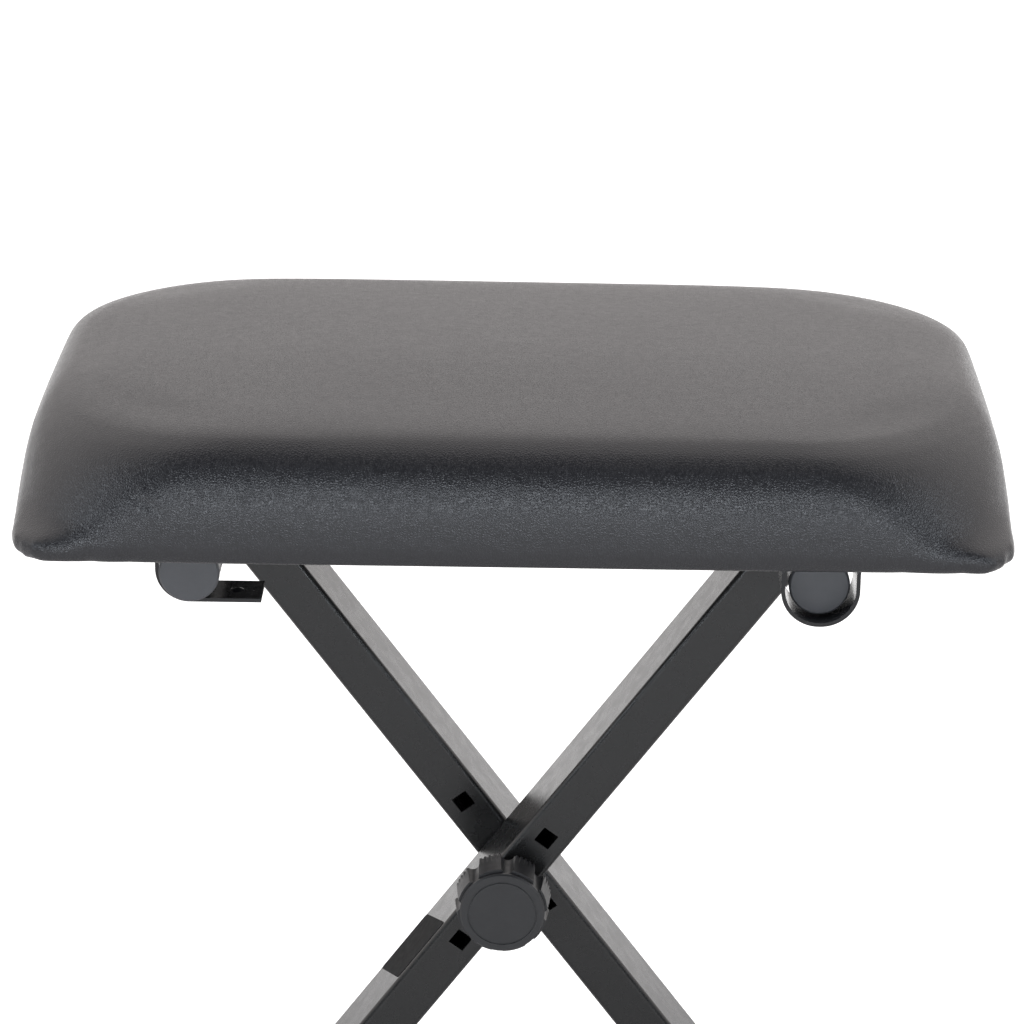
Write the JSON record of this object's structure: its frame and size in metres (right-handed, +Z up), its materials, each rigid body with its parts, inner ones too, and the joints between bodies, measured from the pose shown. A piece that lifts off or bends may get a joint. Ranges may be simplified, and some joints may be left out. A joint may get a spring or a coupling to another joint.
{
  "type": "folding keyboard bench",
  "caption": "Folding bench with a padded rectangular seat on a single X of rectangular steel legs, clamped by a fluted knob at the crossing.",
  "frame": {"origin": "on the floor, straight below the middle of the crossing bolt, centre of the bounding box's bottom", "axes": "+Z up, +X along the seat to the end that is hinged for good, -Y to the front, where the knob is"},
  "size_m": [0.4954, 0.3184, 0.5133],
  "materials": {
    "frame_paint": "satin black powder coat",
    "strap_paint": "gloss black paint",
    "cap_plastic": "matt moulded plastic",
    "foot_rubber": "matt rubber",
    "zinc_steel": "zinc plated",
    "knob_plastic": "matt moulded plastic with fine grain",
    "brass": "turned",
    "seat_leather": "fine pebbled leatherette",
    "foam": "cut polyurethane foam",
    "board_wood": "raw plywood",
    "dust_fabric": "non-woven black sheet"
  },
  "bodies": {
    "front_frame": {"front_leg_tube": "frame_paint", "right_top_tube": "frame_paint", "right_tube_caps": "cap_plastic", "front_foot_tube": "frame_paint", "front_foot_caps": "foot_rubber"},
    "rear_frame": {"rear_leg_tube": "frame_paint", "left_top_tube": "frame_paint", "left_tube_caps": "cap_plastic", "rear_foot_tube": "frame_paint", "rear_foot_caps": "foot_rubber", "pivot_bolt": "zinc_steel", "pivot_spacer": "zinc_steel"},
    "clamp": {"clamp_washer": "zinc_steel"},
    "knob": {"knob_body": "knob_plastic", "knob_insert": "brass", "knob_cap": "knob_plastic"},
    "seat": {"seat_board": "board_wood", "seat_foam": "foam", "seat_cover": "seat_leather", "dust_cover": "dust_fabric", "cover_staples": "zinc_steel", "hinge_strap_front": "strap_paint", "hinge_strap_rear": "strap_paint", "hook_strap_front": "strap_paint", "hook_strap_rear": "strap_paint", "strap_screws": "zinc_steel", "strap_tee_nuts": "zinc_steel"}
  },
  "joints": [
    {"name": "leg_fold", "type": "hinge", "parent": "front_frame", "child": "rear_frame", "pos_m": [0, 0, 0.21905], "axis": [0, 1, 0], "range_deg": [0, 62]},
    {"name": "seat_hinge", "type": "hinge", "parent": "front_frame", "child": "seat", "pos_m": [0.15646, 0, 0.42895], "axis": [0, 1, 0], "range_deg": [0, 31.01]},
    {"name": "clamp_travel", "type": "slide", "parent": "rear_frame", "child": "clamp", "axis": [0, -1, 0], "range_m": [0, 0.00501]},
    {"name": "knob_turn", "type": "hinge", "parent": "clamp", "child": "knob", "pos_m": [0, -0.047, 0.21905], "axis": [0, -1, 0], "range_deg": [0, 1440]}
  ],
  "couplings": [
    {"joint": "seat_hinge", "follows": "leg_fold", "ratio": 0.5},
    {"joint": "clamp_travel", "follows": "knob_turn", "m_per_rad": 0.00019894}
  ]
}
